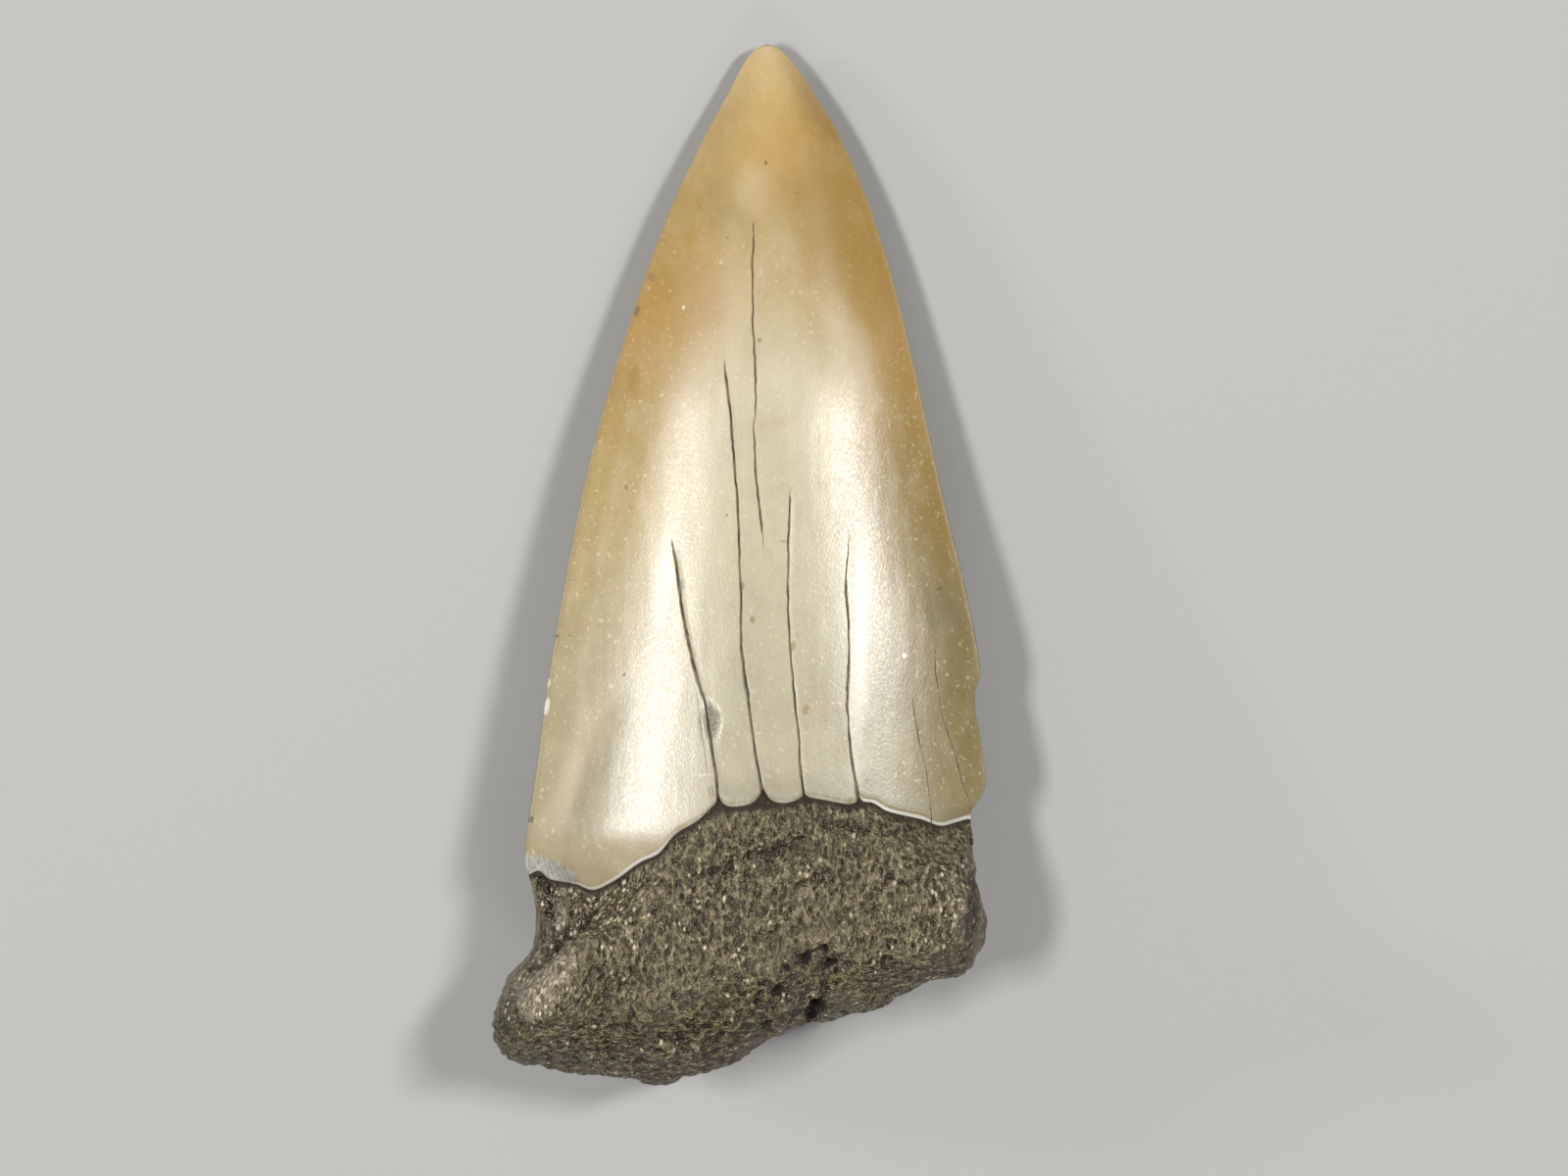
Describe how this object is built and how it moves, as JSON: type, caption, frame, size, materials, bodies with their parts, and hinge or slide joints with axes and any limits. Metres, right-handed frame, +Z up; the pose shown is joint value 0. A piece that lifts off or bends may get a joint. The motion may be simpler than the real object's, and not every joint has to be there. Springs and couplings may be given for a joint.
{
  "type": "fossil shark tooth",
  "caption": "Fossil mako shark tooth with a broad smooth blade, cracked cream enamel and a dark, lumpy, slanting root, lying flat with its outer face up.",
  "frame": {"origin": "on the surface that the tooth lies on, under the middle of its box", "axes": "+Y from the root towards the tip, +Z up out of the labial (outer) face, +X to the right of someone who looks down on that face with the tip away from them"},
  "size_m": [0.023, 0.0482, 0.0109],
  "materials": {
    "tooth": "cream to amber enamel with a satin polish, over a dark brown-grey fibrous root"
  },
  "bodies": {
    "root": {"tooth": "tooth"}
  },
  "joints": []
}
